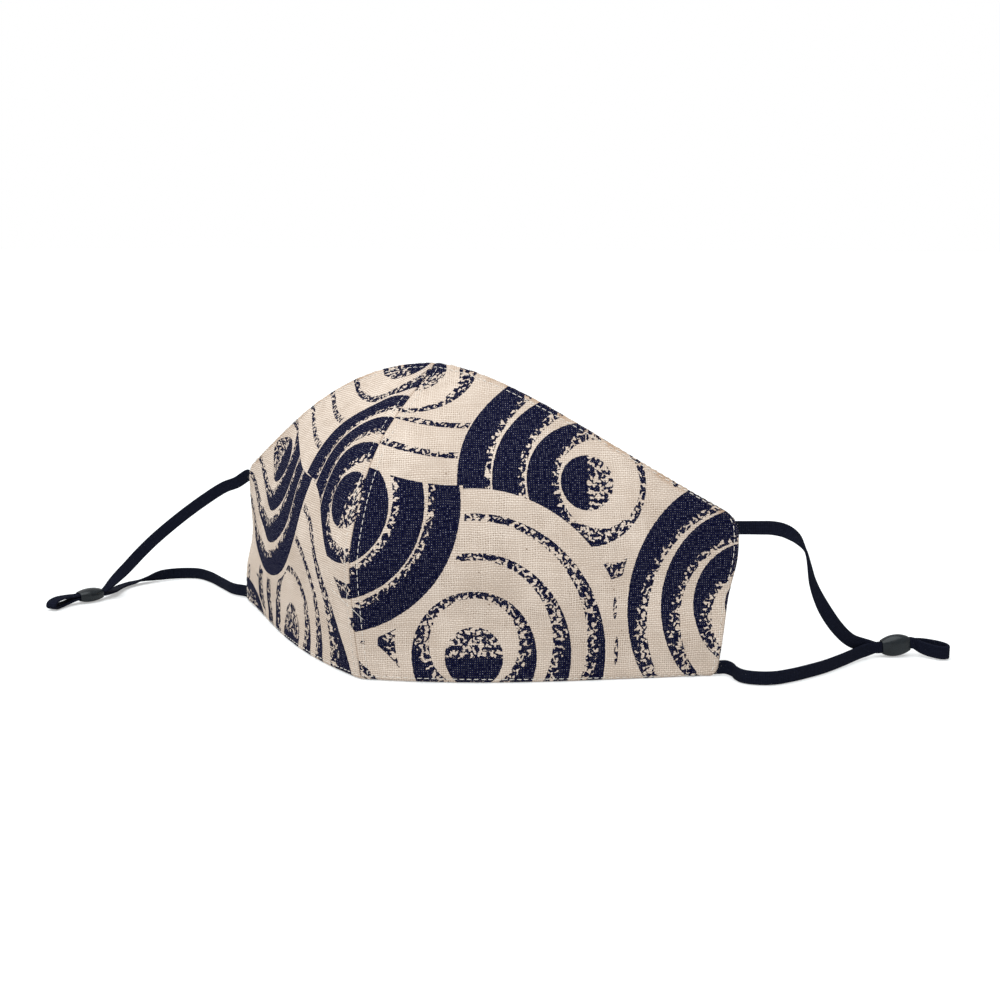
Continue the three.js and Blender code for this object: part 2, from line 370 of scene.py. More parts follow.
def sectionValues(rise):
    # every column at shares of the height, on a smooth curve through the rows
    last = len(sections) - 1
    first = np.clip(np.floor(rise * last).astype(int), 0, last - 1)
    t = (rise * last - first)[..., None]
    rows = np.vstack([2 * sections[0] - sections[1], sections, 2 * sections[-1] - sections[-2]])
    a, b, c, d = (rows[first + k] for k in range(4))
    values = b + 0.5 * t * (c - a + t * (2 * a - 5 * b + 4 * c - d + t * (3 * b - a - 3 * c + d)))
    return {name: values[..., k] for k, name in enumerate(sectionColumns)}


def sectionHandles(rise):
    # the seam end, its handle, the side's handle and the side end of each section
    s, v = maskShape, sectionValues(rise)

    def planDirection(degrees, length):
        angle = np.radians(degrees)
        return np.stack([length * np.sin(angle), length * np.cos(angle), 0 * length], axis=-1)

    seam = np.stack([0 * rise, v["seamBack"] * s["depth"], v["seamUp"] * s["seamHeight"]], axis=-1)
    sideX, sideY = v["sideOut"] * s["halfWidth"], v["sideBack"] * s["depth"]
    side = np.stack([sideX, sideY, rise * s["sideHeight"]], axis=-1)
    chord = np.hypot(side[..., 0] - seam[..., 0], side[..., 1] - seam[..., 1])
    drop = side[..., 2] - seam[..., 2]
    front = seam + planDirection(v["seamTurn"], v["seamReach"] * chord)
    back = side - planDirection(v["sideTurn"], v["sideReach"] * chord)
    front[..., 2] = seam[..., 2] + drop * v["frontLift"]
    back[..., 2] = seam[..., 2] + drop * v["backLift"]
    return seam, front, back, side


def outerPoint(along, rise):
    # a point of the right panel's outer face, with the foot of the seam at zero
    seam, front, back, side = sectionHandles(rise)
    t = along[..., None]
    return (1 - t) ** 3 * seam + 3 * t * (1 - t) ** 2 * front + 3 * t * t * (1 - t) * back + t ** 3 * side


def outerNormal(along, rise, step=1e-3):
    def both(value):
        return np.minimum(value + step, 1), np.maximum(value - step, 0)

    after, before = both(along)
    above, below = both(rise)
    alongStep = outerPoint(after, rise) - outerPoint(before, rise)
    upStep = outerPoint(along, above) - outerPoint(along, below)
    return unit(np.cross(alongStep, upStep))


def reachAcross(rise):
    # how much of a section is left where the corners are rounded
    s = maskShape

    def cut(radius, fromEdge):
        inside = np.maximum(0, 1 - fromEdge / radius)
        return radius / math.hypot(s["halfWidth"], s["depth"]) * (1 - np.sqrt(1 - inside * inside))

    height = rise * s["sideHeight"]
    return 1 - cut(s["bottomCorner"], height) - cut(s["topCorner"], s["sideHeight"] - height)


# Ear loops: flat elastic drawn twice through its bead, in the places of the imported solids

elastic = {
    "width": 5,
    "thick": 1.1,
    "ribs": 7,  # knitted ribs across one face
    "ribDepth": 0.07,
    "edgeRound": 0.5,
    "step": 0.65,  # between rings of the mesh
    "sewnIn": 3.6,  # hidden between the two cloths at each end
    "exitBelowTop": 3.6,
    "exitAboveRim": 3,
    "exitGap": 0.45,
    "exitLead": 2,
    "clearance": 0.3,
    "pinch": 0.8,  # of its width where a bead squeezes it
    "pinchEnds": (0.45, 1.2),  # where that ends, in bead lengths from the bead's middle
}

bead = {
    "length": 10.5,
    "wall": 1.3,
    "lip": 0.32,  # rounding at both mouths
    "mouthShare": 0.66,  # of the full width and height
    "bulge": 2.1,  # a higher power keeps the middle full for longer
    "mouthRound": 0.6,  # 1 is an ellipse and 0 a rectangle
    "middleRound": 0.93,
    "slotRound": 0.3,
    "sides": 64,
    "rings": 28,
}

# x, y, z of the strand's middle, then the direction of the elastic's width there
loops = {
    "right": {
        "side": 1,
        "bead": {"x": 156.4, "y": 87.7, "heading": 35, "rise": 7, "lift": 0.08, "standing": True},
        "upper": [
            [118.2, 41.9, 53.1, 0, 0, 1],
            [122.2, 44.1, 53, 0, 0.1, 1],
            [126.2, 46.5, 51.9, 0, 0.4, 0.9],
            [130.2, 48.5, 49, -0.2, 0.75, 0.6],
            [132.5, 50.3, 44.8, -0.45, 0.88, 0.1],
            [134.9, 52.4, 33.1, 0.1, 1, 0],
            [136.8, 54.6, 26.8, 0.4, 0.9, 0.1],
            [139.2, 58.9, 19.9, 0.65, 0.6, 0.35],
            [141.5, 64.4, 13.8, 0.6, 0.3, 0.7],
            [143.8, 71.2, 8.6, 0.3, 0, 0.95],
            [146, 77.8, 5.6, 0, 0, 1],
        ],
        "tail": [
            [166, 94.9, 3.8, 0, 0, 1],
            [170.2, 96, 3.3, 0, 0, 1],
            [173.5, 95, 3, 0, 0, 1],
            [174.7, 92.8, 2.8, 0, 0, 1],
            [173.1, 90.9, 2.8, 0, 0, 1],
            [169.2, 91, 3, 0, 0, 1],
            [165.6, 91.6, 3.5, 0, 0, 1],
        ],
        "lower": [
            [147.4, 76.6, 3.3, 0, 0, 1],
            [143.6, 64.6, 2.7, 0, 0, 1],
            [140.2, 53.1, 2.6, 0, 0, 1],
            [136.8, 44.8, 2.6, 0, 0, 1],
            [133, 37, 2.6, 0, 0, 1],
            [128.9, 31.2, 2.6, 0, 0, 1],
            [124, 28.3, 2.6, 0, 0, 1],
            [119, 27.8, 2.6, 0, 0, 1],
            [115.4, 30.2, 2.6, 0, 0, 1],
            [113, 33, 2.7, 0, 0, 1],
        ],
    },
    "left": {
        "side": -1,
        "bead": {"x": -164.7, "y": -4.5, "heading": 252.5, "rise": 0, "lift": 0, "standing": False},
        "upper": [
            [-118.4, 39.4, 49.4, -0.1, 0, 1],
            [-124.5, 38, 46.9, -0.2, 0, 1],
            [-133, 33.6, 40.8, -0.3, -0.1, 0.9],
            [-141.8, 27.6, 33, -0.45, -0.15, 0.8],
            [-149, 20.2, 24.8, -0.5, -0.2, 0.75],
            [-153, 15, 19, -0.5, -0.2, 0.75],
            [-156.8, 9.4, 12.5, -0.6, -0.1, 0.6],
            [-159.9, 4.6, 7.5, -0.8, 0.2, 0.4],
        ],
        "tail": [
            [-168.1, -14.6, 3.7, 0.98, -0.1, 0],
            [-168, -19.4, 3.9, 1, 0, 0],
            [-167.2, -23.2, 3.2, 1, 0.15, 0],
            [-166.9, -24.2, 2, 1, 0.15, 0],
            [-167.2, -23.2, 1, 1, 0.15, 0],
            [-168, -19.4, 0.8, 1, 0, 0],
            [-168.1, -14.6, 1.3, 0.98, -0.1, 0],
        ],
        "lower": [
            [-163.2, 6.4, 2, 0.9, 0.3, 0.1],
            [-166.2, 12.2, 1.6, 0.9, 0.35, 0.1],
            [-168.8, 18.6, 1.3, 1, 0.2, 0.1],
            [-169.2, 25, 1.3, 1, 0, 0.1],
            [-167.4, 32, 1.9, 0.9, 0.1, 0.5],
            [-164, 39.2, 2.65, 0.3, 0.1, 0.9],
            [-158.8, 46.2, 2.6, 0, 0, 1],
            [-152, 49.4, 2.6, 0, 0, 1],
            [-143.6, 47.6, 2.6, 0, 0, 1],
            [-129.5, 40.5, 2.7, 0, 0, 1],
            [-118, 34.6, 2.9, 0, 0, 1],
        ],
    },
}

slotWidth = elastic["width"] + 2 * elastic["clearance"]
slotHeight = 2 * elastic["thick"] + 3 * elastic["clearance"]
beadWidth = slotWidth + 2 * bead["wall"]
beadHeight = slotHeight + 2 * bead["wall"]


def beadAxes(place):
    # its middle, its long direction, the direction of the elastic's width in it and that of the stack
    angle, rise = math.radians(place["heading"]), math.radians(place["rise"])
    ahead = np.array([math.cos(angle), math.sin(angle), 0])
    along = ahead * math.cos(rise) + np.array([0, 0, math.sin(rise)])
    up = np.array([0, 0, math.cos(rise)]) - ahead * math.sin(rise)
    level = np.array([-math.sin(angle), math.cos(angle), 0])
    half = (beadWidth if place["standing"] else beadHeight) / 2
    centre = np.array([place["x"], place["y"], half + place["lift"]])
    if place["standing"]:
        return centre, along, up, -level
    return centre, along, level, up


def beadPass(place, layer):
    centre, along, width, stack = beadAxes(place)
    shift = layer * (elastic["thick"] + elastic["clearance"]) / 2
    return [np.concatenate([centre + stack * shift + along * share * bead["length"], width])
            for share in (-0.6, -0.3, 0.3, 0.6)]


def edgePoint(height, along=1.0):
    share = np.array([height / maskShape["sideHeight"]])
    place = np.array([along])
    return (outerPoint(place, share) - outerNormal(place, share) * maskShape["wall"] / 2)[0]


def exitRows(side, height):
    # from the sewn-in end to just outside the side edge
    edge = edgePoint(height)
    outward = unit((edge - edgePoint(height, 0.97)) * (1, 1, 0))
    half = elastic["width"] / 2
    width = unit(edgePoint(height + half) - edgePoint(height - half))
    rows = []
    for distance in (-elastic["sewnIn"], elastic["exitGap"], elastic["exitGap"] + elastic["exitLead"]):
        point = edge + outward * distance
        point = (side * (point[0] + elastic["clearance"] / 2), point[1] - maskShape["middleBack"], point[2])
        rows.append(np.array([*point, side * width[0], width[1], width[2]]))
    return rows


def loopRows(loop):
    side = loop["side"]
    return np.array([
        *exitRows(side, maskShape["sideHeight"] - elastic["exitBelowTop"]),
        *loop["upper"],
        *beadPass(loop["bead"], 1),
        *loop["tail"],
        *reversed(beadPass(loop["bead"], -1)),
        *loop["lower"],
        *reversed(exitRows(side, elastic["exitAboveRim"])),
    ])


def strandLine(rows, perPoint=24):
    # a centripetal curve through the rows, which carries the width direction
    points, widths = rows[:, :3], unit(rows[:, 3:])
    for k in range(1, len(widths)):
        if np.dot(widths[k], widths[k - 1]) < 0:
            widths[k] = -widths[k]
    ends = np.vstack([2 * points[0] - points[1], points, 2 * points[-1] - points[-2]])
    gaps = np.sqrt(np.linalg.norm(np.diff(ends, axis=0), axis=1))
    t = np.linspace(0, 1, perPoint, endpoint=False)[:, None]
    line, turned = [], []
    for k in range(len(points) - 1):
        a, b, c, d = ends[k:k + 4]
        before, here, after = gaps[k:k + 3]
        leave = ((b - a) / before - (c - a) / (before + here) + (c - b) / here) * here
        arrive = ((c - b) / here - (d - b) / (here + after) + (d - c) / after) * here
        line.append(b + t * leave + t * t * (3 * (c - b) - 2 * leave - arrive)
                    + t ** 3 * (2 * (b - c) + leave + arrive))
        turned.append(lerp(widths[k], widths[k + 1], t))
    return np.vstack([*line, points[-1:]]), np.vstack([*turned, widths[-1:]])


def bandOutline(band):
    # the section: ribbed faces and rounded edges, x along the width and y through the thickness
    half, flat = band["thick"] / 2, band["width"] / 2 - band["edgeRound"]
    across = np.linspace(flat, -flat, band["ribs"] * 4 + 1)
    rib = band["ribDepth"] * (np.cos(across / flat * band["ribs"] * math.pi) - 1) / 2
    turn = np.linspace(0, math.pi, 7)[1:-1]
    top = np.stack([across, half + rib], axis=1)
    leftEdge = np.stack([-flat - band["edgeRound"] * np.sin(turn), half * np.cos(turn)], axis=1)
    return np.vstack([top, leftEdge, -top, -leftEdge])


def makeBand(name, loop, material):
    line, widths = strandLine(loopRows(loop))
    line, widths = evenly(line, elastic["step"], widths)
    tangent = unit(np.gradient(line, axis=0))
    widths = unit(widths - tangent * np.sum(widths * tangent, axis=1, keepdims=True))
    through = np.cross(tangent, widths)
    outline = bandOutline(elastic)
    fromBead = np.linalg.norm(line - beadAxes(loop["bead"])[0], axis=1) / bead["length"]
    pinched = widths * lerp(elastic["pinch"], 1, smooth(*elastic["pinchEnds"], fromBead))[:, None]
    x, y = outline[None, :, :1], outline[None, :, 1:]
    points = (line[:, None] + pinched[:, None] * x + through[:, None] * y).reshape(-1, 3)
    uv = tubeMap(runningLength(line), runningLength(outline))
    return makeObject(name, points, tubeFaces(len(line), len(outline)), [material], {"cloth": uv}), line


def roundedOutline(width, height, roundness, sides):
    angle = np.arange(sides) / sides * 2 * math.pi
    circle = np.stack([np.cos(angle), np.sin(angle)], axis=1)
    return np.sign(circle) * np.abs(circle) ** roundness * (width / 2, height / 2)


def makeBead(name, place, material):
    centre, along, width, stack = beadAxes(place)
    sides, lip = bead["sides"], bead["lip"]
    slot = roundedOutline(slotWidth * elastic["pinch"], slotHeight, bead["slotRound"], sides)
    stations = []
    reach = 0.5 - lip / bead["length"] * 0.8
    for k in range(bead["rings"] + 1):
        share = -math.cos(k * math.pi / bead["rings"])
        swell = 1 - abs(share) ** bead["bulge"]
        size = lerp(bead["mouthShare"], 1, swell)
        roundness = lerp(bead["mouthRound"], bead["middleRound"], swell)
        outline = roundedOutline(beadWidth * size, beadHeight * size, roundness, sides)
        stations.append((share * reach, outline))
    for end in (1, -1):
        rim = stations[bead["rings"] if end > 0 else 0][1]
        turn = [0.12, 0.3, 0.5, 0.7, 0.88, 1]
        arc = [(end * lerp(reach, 0.5, math.sin(t * math.pi)), lerp(rim, slot, t)) for t in turn]
        stations.extend(arc if end > 0 else arc[::-1])
        if end > 0:
            stations.extend((end * reach * (1 - t), slot) for t in (0.3, 0.65, 1, 1.35, 1.7))
    axes = np.array([width, stack])
    points = np.array([
        centre + along * where * bead["length"] + outline @ axes for where, outline in stations
    ])
    faces = ringFaces(len(stations), sides, closed=True)
    if np.dot(np.cross(along, width), stack) < 0:
        faces = faces[:, ::-1]
    return makeObject(name, points.reshape(-1, 3), faces[:, ::-1], [material])


knit = {
    # light is the loop tops, dark is painted shade in the grooves between the loops
    "light": (0.0075, 0.0092, 0.0200, 1),
    "dark": (0.0018, 0.0023, 0.0055, 1),
    "row": 0.75,  # millimetres from one row of knitted loops to the next
    "slant": 0.35,
    "lint": (0.16, 0.16, 0.17, 1),
    "lintShare": 0.5,
    "roughness": 0.85,
    "specular": 0.06,
    "bump": 0.8,
    "depth": 0.00015,  # of the loops in metres
}

rubberFinish = {
    "light": (0.0050, 0.0088, 0.0120, 1),
    "dark": (0.0022, 0.0042, 0.0062, 1),
    "roughness": 0.24,
    "specular": 0.36,
    "dustSize": 260,  # noise scales over metres
    "grainSize": 900,
    "bump": 0.05,
    "depth": 0.0001,
}


def makeKnit(name):
    # slanted rows of loops that turn at each rib, with painted shade in the grooves between the loops and
    # lighter loop tops
    material, tree, shader = startMaterial(name, knit["roughness"], knit["specular"])
    place = readMap(tree, "cloth")
    along, around, _ = split(place)
    ribWidth = (elastic["width"] - 2 * elastic["edgeRound"]) / elastic["ribs"]
    fold = (around / ribWidth).math("PINGPONG", 0.5)
    rows = fold.line(knit["slant"] * 2, along / knit["row"])
    crown = (fold * math.pi).sine()
    height = abs((rows * math.pi).sine()).math("SQRT") * crown.line(0.6, 0.4)
    uneven = addRange(addNoise(place, 0.8, 3.0), 0.3, 0.7, -0.2, 0.2)
    # painted shade: darker in the grooves between the loops, lighter on their tops, with random unevenness
    colour = addMix(height.math("ADD", uneven, clamp=True), knit["dark"], knit["light"])
    specks = addRange(addNoise(place, 2.3, 1.0), 0.73, 0.77)
    plug(shader.inputs["Base Color"], addMix(specks * knit["lintShare"], colour, knit["lint"]))
    addBump(shader, height, knit["bump"], knit["depth"])
    return material


def makeRubber(name):
    f = rubberFinish
    material, tree, shader = startMaterial(name, f["roughness"], f["specular"])
    place = Wire(tree, tree.nodes.new("ShaderNodeTexCoord").outputs["Object"])
    grain = addNoise(place, f["grainSize"], 3.0, 0.6)
    dust = addRange(addNoise(place, f["dustSize"]), 0.35, 0.65)
    plug(shader.inputs["Base Color"], addMix(dust, f["dark"], f["light"]))
    rough = addRange(grain, 0.3, 0.7, f["roughness"] - 0.05, f["roughness"] + 0.08)
    plug(shader.inputs["Roughness"], rough)
    addBump(shader, grain, f["bump"], f["depth"])
    return material


elasticMaterial = makeKnit("knittedElastic")
rubberMaterial = makeRubber("siliconeRubber")

for name, loop in loops.items():
    newBead = makeBead(f"bead_{name}", loop["bead"], rubberMaterial)
    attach(newBead, "root")
    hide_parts(f"adjuster_bead_{name}")
    band, line = makeBand(f"elastic_{name}", loop, elasticMaterial)
    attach(band, "root")
    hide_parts(f"ear_loop_{name}")
    round(runningLength(line)[-1] * mm, 4)
    [tuple(point * mm) for point in line]
    print(f"{name} ear loop: {runningLength(line)[-1]:.1f} mm of elastic")


# Cloth panels: fine closed walls with rolled edges, pressed seam allowances and stitch dents

cloth = {
    "across": 125,  # rough lengths of the panel that the mesh steps are laid out for
    "up": 80,
    "finest": 0.14,  # mesh steps at the very edge, near it and in the open cloth
    "fine": 0.42,
    "coarse": 1.15,
    "fineZone": 5,
    "seamRound": 0.5,  # how far the face rolls in at the seam
    "allowance": 0.16,  # swelling over the turned-in edges
    "groove": 0.07,
    "stitchDent": 0.11,
    "dentSize": 0.55,
    "undulation": 0.35,
    "undulationSize": 34,
    "pucker": 0.09,
    "puckerLength": 6.5,
    "edgeWaver": 0.16,  # the rolled top edge isn't quite even
    "edgeWaverLength": 3.2,
}

stitching = {
    "pitch": 2.5,
    "share": 0.84,  # of the pitch that shows as thread
    "radius": 0.125,
    "lift": 0.13,
    "sink": 0.25,
    "sides": 7,
    "rings": 9,
    "jitter": 0.12,
    "insets": {
        "right": {"seam": 3, "top": 2.9, "side": 2, "rim": 1.5},
        "left": {"seam": 2.6, "top": 2.9, "side": 2, "rim": 1.5},
    },
}


seeds = {
    "right": {"relief": 3, "stitches": 11, "fuzz": 21, "edge": 31},
    "left": {"relief": 8, "stitches": 12, "fuzz": 22, "edge": 32},
}


def edgeShares(length):
    # shares of a length, closer together near both ends
    places, at = [0.0], 0.0
    while at < length / 2:
        openness = float(smooth(cloth["fineZone"], 3 * cloth["fineZone"], at))
        at += min(cloth["finest"] + 0.35 * at, lerp(cloth["fine"], cloth["coarse"], openness))
        places.append(at)
    half = np.array(places) / places[-1] / 2
    return np.concatenate([half, 1 - half[-2::-1]])


def waveNoise(points, size, seed, waves=10):
    # smooth seeded noise from a few sines in turned directions, about -1 to 1
    chance = random.Random(seed)
    total = np.zeros(points.shape[:-1])
    for _ in range(waves):
        direction = unit(np.array([chance.gauss(0, 1) for _ in range(points.shape[-1])]))
        length = size * chance.uniform(0.7, 1.6)
        total += np.sin(points @ direction * 2 * math.pi / length + chance.uniform(0, 2 * math.pi))
    return total / math.sqrt(waves / 2) / 1.6


def nearest(points, line):
    # distance of every point from the nearest point of a dense line
    flat = points.reshape(-1, 3)
    out = np.empty(len(flat))
    for start in range(0, len(flat), 2000):
        part = flat[start:start + 2000]
        out[start:start + 2000] = np.linalg.norm(part[:, None] - line[None], axis=-1).min(axis=1)
    return out.reshape(points.shape[:-1])


def panelGrid():
    # the outer face of the right panel on a fine grid, with its inward directions
    columns = edgeShares(cloth["across"])
    rises = edgeShares(cloth["up"])
    dense = np.linspace(0, 1, 401)
    reach = reachAcross(rises)
    along = np.empty((len(rises), len(columns)))
    for k, rise in enumerate(rises):
        places = dense * reach[k]
        length = runningLength(outerPoint(places, np.full_like(places, rise)))
        along[k] = np.interp(columns * length[-1], length, places)
    rise = np.broadcast_to(rises[:, None], along.shape)
    points = outerPoint(along, rise)
    normals = outerNormal(along, rise)
    across = np.stack([runningLength(row) for row in points])
    up = runningLength(points)
    inward = -normals
    # near the seam and the rim the wall is cut square to the middle plane and to the table
    seamBlend = 1 - smooth(0, 6, across)
    rimBlend = 1 - smooth(0, 6, up)
    inward[..., 0] *= 1 - seamBlend
    inward[..., 2] *= 1 - rimBlend
    inward /= -np.sum(inward * normals, axis=-1, keepdims=True)
    return {"points": points, "normals": normals, "inward": inward, "across": across, "up": up}


def outlineParts(points):
    return {"seam": points[:, 0], "rim": points[0], "side": points[:, -1], "top": points[-1]}


def flatPattern(points):
    # the panel unrolled flat, in millimetres: x along the rim and y up, zero at the foot of the seam
    rows, columns = points.shape[:2]
    index = np.arange(rows * columns).reshape(rows, columns)
    maps = {"cloth": np.zeros((rows * columns, 2))}
    scratch = makeObject("flatPattern", points.reshape(-1, 3), gridFaces(index), [], maps)
    bpy.context.view_layer.objects.active = scratch
    scratch.select_set(True)
    bpy.ops.object.mode_set(mode="EDIT")
    bpy.ops.mesh.select_all(action="SELECT")
    bpy.ops.uv.unwrap(method="ANGLE_BASED", margin=0)
    bpy.ops.object.mode_set(mode="OBJECT")
    mesh = scratch.data
    corners = np.empty(len(mesh.loops), dtype=np.int32)
    mesh.loops.foreach_get("vertex_index", corners)
    values = np.empty(len(mesh.loops) * 2, dtype=np.float32)
    mesh.uv_layers.active.data.foreach_get("uv", values)
    flat = np.empty((rows * columns, 2))
    flat[corners] = values.reshape(-1, 2)
    bpy.data.objects.remove(scratch)
    flat = flat.reshape(rows, columns, 2) - flat[0]
    rim = flat[0, -1] / np.linalg.norm(flat[0, -1])
    flat = np.stack([flat @ rim, flat @ np.array([-rim[1], rim[0]])], axis=-1)

    def steps(grid):
        return sum(np.linalg.norm(np.diff(grid, axis=axis), axis=-1).sum() for axis in (1, 0))

    flat *= steps(points) / steps(flat)
    if flat[-1, 0, 1] < 0:
        flat[..., 1] *= -1
    return flat


def atInset(grid, edge, inset):
    # the line on the outer face at a fixed distance in from one edge
    points = grid["points"]
    if edge in ("seam", "side"):
        lengths, lines = grid["across"], points
    else:
        lengths, lines = grid["up"].T, points.transpose(1, 0, 2)
    found = []
    for length, line in zip(lengths, lines):
        place = inset if edge in ("seam", "rim") else length[-1] - inset
        if 0 < place < length[-1]:
            found.append([np.interp(place, length, line[:, k]) for k in range(3)])
    return np.array(found)


def stitchLine(grid, edge, insets):
    # cut short where it meets the stitch lines of the edges next to it
    line = atInset(grid, edge, insets[edge])
    for other, outline in outlineParts(grid["points"]).items():
        if other == edge or {edge, other} == {"seam", "side"}:
            continue
        gap = insets[other] if other != "seam" else 0.4
        line = line[nearest(line, outline) > gap * 0.92]
    return line


def stitchPlaces(line, chance):
    # start and end of each stitch along a line
    length = runningLength(line)
    count = int(length[-1] / stitching["pitch"])
    pitch = length[-1] / count
    found = []
    for k in range(count):
        start = (k + (1 - stitching["share"]) / 2) * pitch + chance.uniform(-1, 1) * stitching["jitter"]
        end = start + pitch * stitching["share"]
        places = np.linspace(start, end, stitching["rings"])
        found.append(np.stack([np.interp(places, length, line[:, k]) for k in range(3)], axis=1))
    return found


def panelRelief(grid, flat, stitches, side):
    # how far the outer and inner faces stand out from the plain wall
    points = grid["points"]
    parts = outlineParts(points)
    toSeam = nearest(points, parts["seam"])
    toRim = nearest(points, np.vstack([parts["rim"], parts["side"], parts["top"]]))
    insets = stitching["insets"][side]
    half = maskShape["wall"] / 2
    inside = np.clip(half - toRim, 0, half)
    roll = half - np.sqrt(np.maximum(half ** 2 - inside ** 2, 0))
    seamInside = np.clip(cloth["seamRound"] * 1.6 - toSeam, 0, None) / 1.6
    seamRoll = cloth["seamRound"] - np.sqrt(np.maximum(cloth["seamRound"] ** 2 - seamInside ** 2, 0))
    seed = seeds[side]["relief"]
    calm = smooth(0, 14, np.minimum(toSeam, toRim))
    wave = waveNoise(points, cloth["undulationSize"], seed) * cloth["undulation"] * calm
    fade = np.exp(-toSeam / 7) * smooth(0.3, 2, toSeam)
    upSeam = np.stack([grid["up"], 0.15 * grid["across"]], axis=-1)
    pucker = waveNoise(upSeam, cloth["puckerLength"], seed + 1)
    wave += pucker * cloth["pucker"] * fade
    wave += waveNoise(flat, cloth["puckerLength"], seed + 2) * cloth["pucker"] * 0.6 * np.exp(-toRim / 5)
    foldEnd = smooth(insets["seam"] + 0.6, insets["seam"] + 2.2, toSeam)
    swell = cloth["allowance"] * smooth(0.4, 1.2, toSeam) * (1 - foldEnd)
    hem = cloth["allowance"] * 0.8 * smooth(0.3, 1, toRim) * (1 - smooth(2.2, 5, toRim))
    close = np.minimum(toSeam, toRim) < 5
    toHole = nearest(points[close], np.vstack([stitch[[0, -1]] for stitch in stitches]))
    toMiddle = nearest(points[close], np.vstack([stitch[[stitching["rings"] // 2]] for stitch in stitches]))
    dent = np.zeros(points.shape[:2])
    dent[close] = cloth["stitchDent"] * np.exp(-(toHole / cloth["dentSize"]) ** 2)
    dent[close] += cloth["groove"] * np.exp(-(toMiddle / cloth["dentSize"] / 1.6) ** 2)
    outer = wave + swell + hem - dent - roll - seamRoll
    inner = -wave + swell * 0.7 + hem - dent - roll - seamRoll * 0.6
    return outer, inner, toSeam, toRim


fuzz = {
    "perEdge": {"top": 260, "rim": 150, "side": 50, "seam": 24},
    "length": (0.4, 1.6),
    "radius": 0.045,
    "curl": 0.5,
    "sides": 3,
    "points": 5,
}

# a loose end of sewing thread that lies across the foot of the seam: panel, cloth place and height over it
strayThread = {
    "places": [("left", -13.6, 31.3, 0.25), ("left", -8.5, 30.2, 0.3), ("left", -3.2, 29.0, 0.35),
               ("right", -0.1, 26.4, 0.4), ("right", 1.2, 24.9, 0.3), ("right", 2.6, 23.4, 0.15)],
    "radius": 0.1,
}


def stitchTubes(stitches, bvh, outward):
    # every stitch is a short thread that rises from one hole and dips into the next
    rings, sides = stitching["rings"], stitching["sides"]
    turn = np.arange(sides) / sides * 2 * math.pi
    share = np.linspace(0, 1, rings)
    rise = np.sin(share * math.pi) ** 0.6 * (stitching["lift"] + stitching["sink"]) - stitching["sink"]
    thick = stitching["radius"] * (0.35 + 0.65 * np.sin(share * math.pi) ** 0.4)
    for stitch in stitches:
        found = [bvh.find_nearest(Vector(point)) for point in stitch]
        spots = np.array([spot for spot, _, _, _ in found])
        normals = np.array([normal * outward for _, normal, _, _ in found])
        normals = unit(normals.mean(axis=0, keepdims=True))
        base = lerp(spots[:1], spots[-1:], share[:, None])
        lift = np.sum((spots - base) * normals, axis=1, keepdims=True)
        middle = base + normals * (lift + rise[:, None])
        across = np.cross(unit(spots[-1:] - spots[:1]), normals)
        ring = across[:, None] * np.cos(turn)[None, :, None] * 1.1
        ring = ring + normals[:, None] * np.sin(turn)[None, :, None] * 0.9
        points = middle[:, None] + ring * thick[:, None, None]
        length = np.linalg.norm(spots[-1] - spots[0])
        yield points.reshape(-1, 3), tubeFaces(rings, sides), tubeMap(share * length, turn)


def tube(line, radius, sides):
    # a thin closed tube of even or given radius round a line
    tangent = unit(np.gradient(line, axis=0))
    aside = unit(np.cross(tangent, np.array([0.31, 0.17, 0.93])))
    other = np.cross(tangent, aside)
    turn = np.arange(sides) / sides * 2 * math.pi
    ring = aside[:, None] * np.cos(turn)[None, :, None] + other[:, None] * np.sin(turn)[None, :, None]
    points = line[:, None] + ring * np.broadcast_to(radius, (len(line),))[:, None, None]
    return points.reshape(-1, 3), tubeFaces(len(line), sides), tubeMap(runningLength(line), turn)


def joinTubes(name, tubes, material):
    points, faces, maps, start = [], [], [], 0
    for tubePoints, tubeFaces, tubeMaps in tubes:
        points.append(tubePoints)
        maps.append(tubeMaps)
        faces.extend([[corner + start for corner in face] for face in tubeFaces])
        start += len(tubePoints)
    points = np.vstack(points)
    points[:, 2] = np.maximum(points[:, 2], 0.03)  # none dips under the table
    return makeObject(name, points, faces, [material], {"cloth": np.vstack(maps)})


def makeFuzz(name, grid, sign, seed, material):
    # short fibres that stand off the folded edges
    chance = random.Random(seed)
    tubes = []
    for edge, count in fuzz["perEdge"].items():
        outline = outlineParts(grid["points"])[edge]
        normals = outlineParts(grid["normals"])[edge]
        inner = {"top": -3, "rim": 2, "side": -3, "seam": 2}[edge]
        within = grid["points"][inner] if edge in ("top", "rim") else grid["points"][:, inner]
        for _ in range(count):
            k = chance.randrange(2, len(outline) - 2)
            out = unit(outline[k] - within[k])
            if edge == "seam":
                out = normals[k]
            lift = normals[k] * chance.uniform(0, 1.2)
            aim = unit(out + lift + np.array([chance.gauss(0, 0.5) for _ in range(3)]))
            bend = np.array([chance.gauss(0, fuzz["curl"]) for _ in range(3)])
            t = np.linspace(0, 1, fuzz["points"])[:, None] * chance.uniform(*fuzz["length"])
            foot = outline[k] - normals[k] * (0.1 if edge == "seam" else 0.5) - out * 0.15
            line = foot + aim * t + bend * t * t * 0.4
            radius = np.linspace(1, 0.5, fuzz["points"]) * fuzz["radius"]
            tubes.append(tube(placed(line, sign), radius, fuzz["sides"]))
    return joinTubes(name, tubes, material)


def onCloth(panelFaces, side, u, v, height):
    # the place over the outer face of a panel above a place of its cloth
    points, normals, cloth2d = panelFaces[side]
    away = np.hypot(cloth2d[:, 0] - u, cloth2d[:, 1] - v)
    close = np.argsort(away)[:4]
    weight = 1 / (away[close] + 0.01)
    weight = (weight / weight.sum())[:, None]
    return (points[close] * weight).sum(axis=0) + unit((normals[close] * weight).sum(axis=0)) * height


